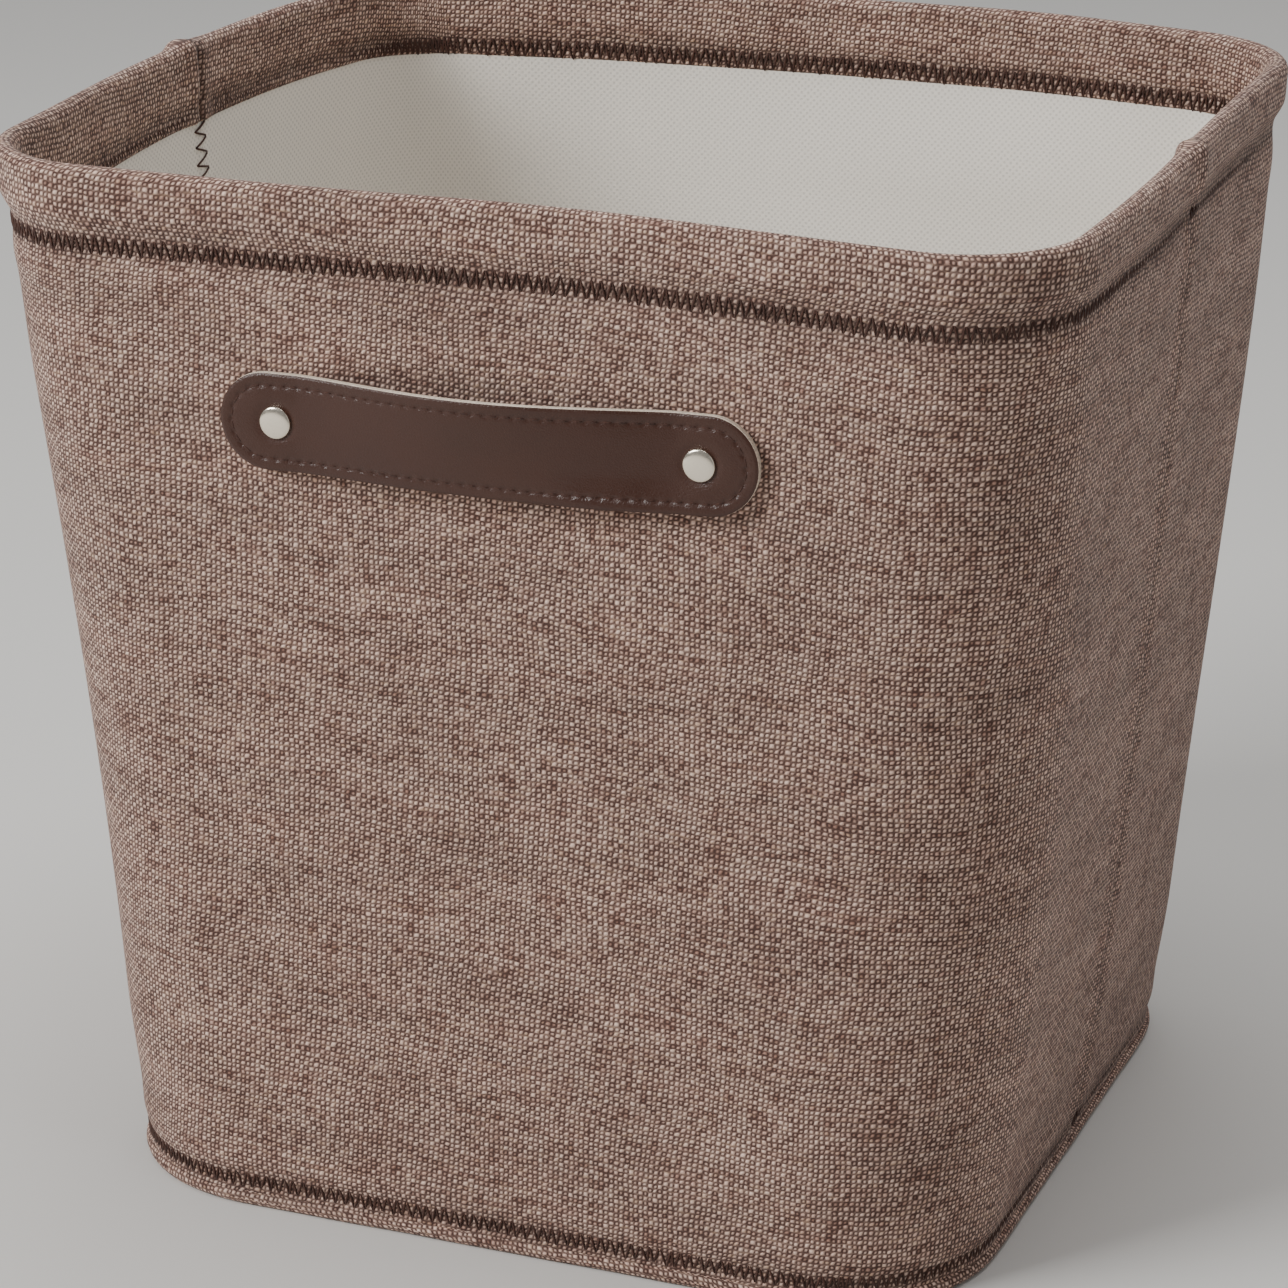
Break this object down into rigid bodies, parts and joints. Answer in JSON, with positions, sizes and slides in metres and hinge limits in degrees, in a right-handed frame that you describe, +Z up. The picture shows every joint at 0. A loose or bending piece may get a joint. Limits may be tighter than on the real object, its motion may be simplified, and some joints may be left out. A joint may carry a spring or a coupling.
{
  "type": "fabric storage bin",
  "caption": "Tapered soft storage bin with a turned hem over a wire rim, a pale lining and a riveted leather strap handle front and back.",
  "frame": {"origin": "middle of the base where it meets the floor", "axes": "+X across the straps, -Y the front, +Z up to the rim"},
  "size_m": [0.332, 0.3056, 0.33],
  "materials": {
    "tweed": "coarse plain weave, brown melange",
    "felt": "pressed felt",
    "lining_cloth": "fine non-woven, matt",
    "dark_thread": "matt polyester thread",
    "wire": "drawn wire",
    "sleeve": "crimped",
    "board": "grey board",
    "leather_face": "smooth, satin",
    "leather_back": "smooth, satin",
    "strap_thread": "matt thread",
    "nickel": "polished nickel",
    "washer_steel": "pressed steel"
  },
  "bodies": {
    "bin": {"front_panel": "tweed", "back_panel": "tweed", "front_felt": "felt", "back_felt": "felt", "front_lining": "lining_cloth", "back_lining": "lining_cloth", "rim_needle_thread": "dark_thread", "rim_bobbin_thread": "dark_thread", "base_needle_thread": "dark_thread", "left_seam_thread": "dark_thread", "right_seam_thread": "dark_thread", "rim_wire": "wire", "rim_wire_sleeve": "sleeve", "base_welt": "tweed", "base_wire": "wire", "base_wire_sleeve": "sleeve", "base_panel": "tweed", "base_lining": "lining_cloth", "front_rivet_caps": "nickel", "front_rivet_posts": "nickel", "front_rivet_washers": "washer_steel", "back_rivet_caps": "nickel", "back_rivet_posts": "nickel", "back_rivet_washers": "washer_steel"},
    "front_handle": {"front_strap_face": "leather_face", "front_strap_back": "leather_back", "front_strap_stitches": "strap_thread"},
    "back_handle": {"back_strap_face": "leather_face", "back_strap_back": "leather_back", "back_strap_stitches": "strap_thread"},
    "base_insert": {"base_board": "board", "base_board_cover": "lining_cloth"}
  },
  "joints": [
    {"name": "front_handle_swing", "type": "hinge", "parent": "bin", "child": "front_handle", "pos_m": [0, -0.14163, 0.2615], "axis": [1, 0, 0], "range_deg": [-22, 22], "stiffness_Nm_per_rad": 0.15, "deforming": ["front_strap_face", "front_strap_back", "front_strap_stitches"]},
    {"name": "back_handle_swing", "type": "hinge", "parent": "bin", "child": "back_handle", "pos_m": [0, 0.14163, 0.2615], "axis": [-1, 0, 0], "range_deg": [-22, 22], "stiffness_Nm_per_rad": 0.15, "deforming": ["back_strap_face", "back_strap_back", "back_strap_stitches"]},
    {"name": "base_insert_lift", "type": "slide", "parent": "bin", "child": "base_insert", "axis": [0, 0, 1], "range_m": [0, 0.36]}
  ]
}
